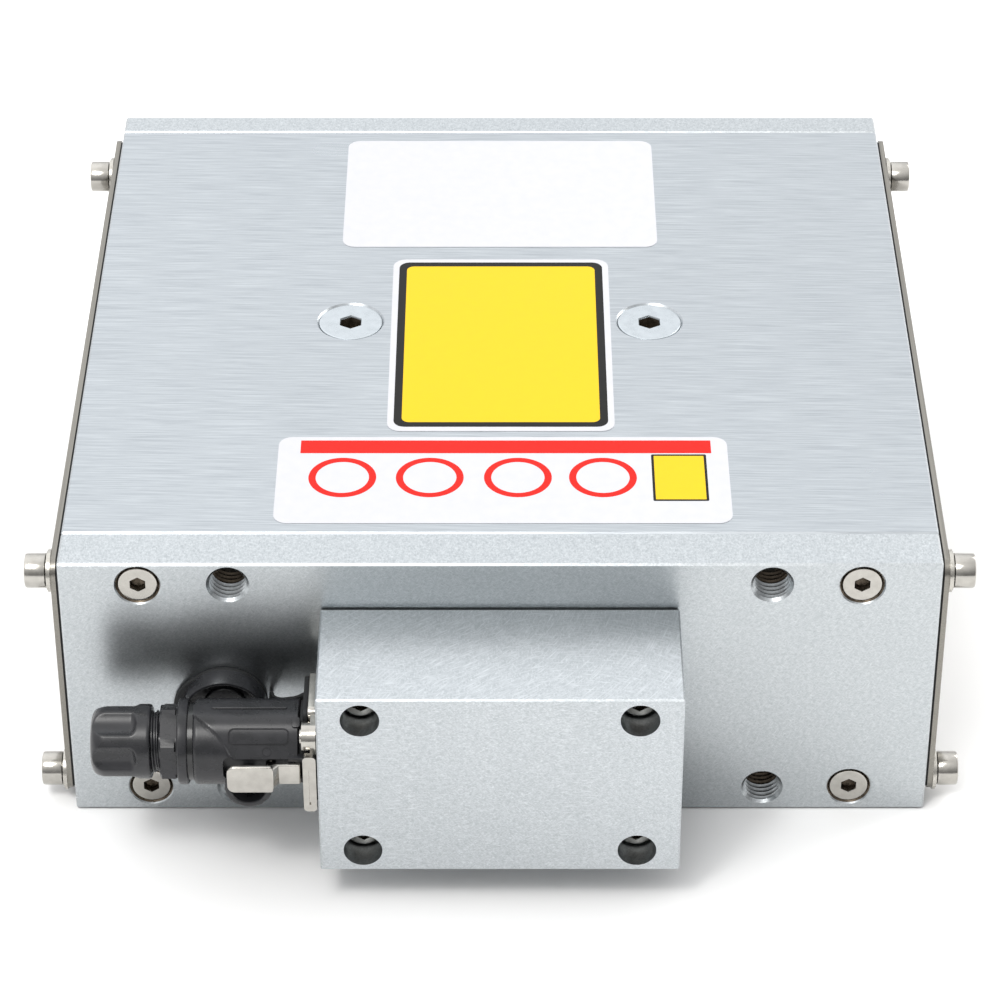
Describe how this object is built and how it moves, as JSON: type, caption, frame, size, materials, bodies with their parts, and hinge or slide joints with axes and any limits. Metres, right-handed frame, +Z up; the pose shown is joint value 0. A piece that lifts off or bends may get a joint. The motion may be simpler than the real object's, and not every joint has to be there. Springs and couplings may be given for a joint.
{
  "type": "robot magnetic gripper",
  "caption": "Square block electromagnet for a robot arm, with bolted steel plates, tapped mounting holes, a terminal box and a latching power connector.",
  "frame": {"origin": "centre of the square pole face, on the face", "axes": "+Z up from the pole face to the top yoke, +X to the right, -Y to the front plate that carries the terminal box"},
  "size_m": [0.2702, 0.292, 0.0901],
  "materials": {
    "zinc_steel": "zinc plated, fine grain",
    "bare_steel": "ground",
    "stainless_plate": "ground",
    "stainless_sheet": "brushed",
    "stainless_screw": "bright",
    "zinc_screw": "zinc plated",
    "nickel": "nickel plated",
    "spring_steel": "bright",
    "copper": "enamelled",
    "contact_brass": "plated",
    "bobbin_plastic": "moulded",
    "cast_resin": "cast",
    "strip_plastic": "moulded",
    "black_nylon": "moulded, slight sheen",
    "black_rubber": "matt",
    "red_rubber": "matt",
    "red_insulation": "smooth",
    "blue_insulation": "smooth",
    "label_white": "film",
    "label_yellow": "film"
  },
  "bodies": {
    "magnet": {"front_pole_plate": "zinc_steel", "rear_pole_plate": "zinc_steel", "top_yoke": "zinc_steel", "base_plate": "stainless_plate", "centre_core": "bare_steel", "coil_former": "bobbin_plastic", "coil_winding": "copper", "potting_resin": "cast_resin", "coil_leads": "red_insulation", "front_plate_screws": "stainless_screw", "rear_plate_screws": "stainless_screw", "core_screws": "zinc_screw", "side_gasket_left": "black_rubber", "side_gasket_right": "black_rubber", "side_cover_left": "stainless_sheet", "side_cover_right": "stainless_sheet", "side_flat_washers": "stainless_screw", "side_spring_washers": "stainless_screw", "side_cover_screws": "stainless_screw", "terminal_box": "zinc_steel", "terminal_box_gasket": "black_rubber", "terminal_box_screws": "stainless_screw", "terminal_strip": "strip_plastic", "terminal_clamps": "contact_brass", "socket_wires": "blue_insulation", "socket_gasket": "black_rubber", "socket_flange": "nickel", "flange_screws": "nickel", "socket_catch": "nickel", "socket_insert": "black_nylon", "socket_pins": "contact_brass", "dust_cap": "black_nylon", "cap_strap": "black_rubber", "plug_body": "black_nylon", "plug_seal": "red_rubber", "plug_insert": "black_nylon", "plug_contacts": "contact_brass", "lever_pin": "nickel", "lever_spring": "spring_steel", "collar_seal": "black_rubber", "plug_collar": "black_nylon", "gland_seal": "black_rubber", "label_rear": "label_white", "label_middle": "label_yellow", "label_front": "label_white"},
    "release_lever": {"release_lever": "nickel"},
    "clamp_ring": {"gland_ring": "strip_plastic"},
    "gland": {"gland_nut": "black_nylon"}
  },
  "joints": [
    {"name": "lever_press", "type": "hinge", "parent": "magnet", "child": "release_lever", "pos_m": [-0.0645, -0.1579, 0.0442], "axis": [0, 0, -1], "range_deg": [0, 13], "stiffness_Nm_per_rad": 0.05, "springref_deg": -22.92, "deforming": ["lever_spring"]},
    {"name": "gland_feed", "type": "slide", "parent": "magnet", "child": "clamp_ring", "axis": [1, 0, 0], "range_m": [0, 0.00225]},
    {"name": "gland_nut_turn", "type": "hinge", "parent": "clamp_ring", "child": "gland", "pos_m": [-0.107, -0.1475, 0.0442], "axis": [1, 0, 0], "range_deg": [0, 540]}
  ],
  "couplings": [
    {"joint": "gland_nut_turn", "follows": "gland_feed", "rad_per_m": 4188.8}
  ]
}
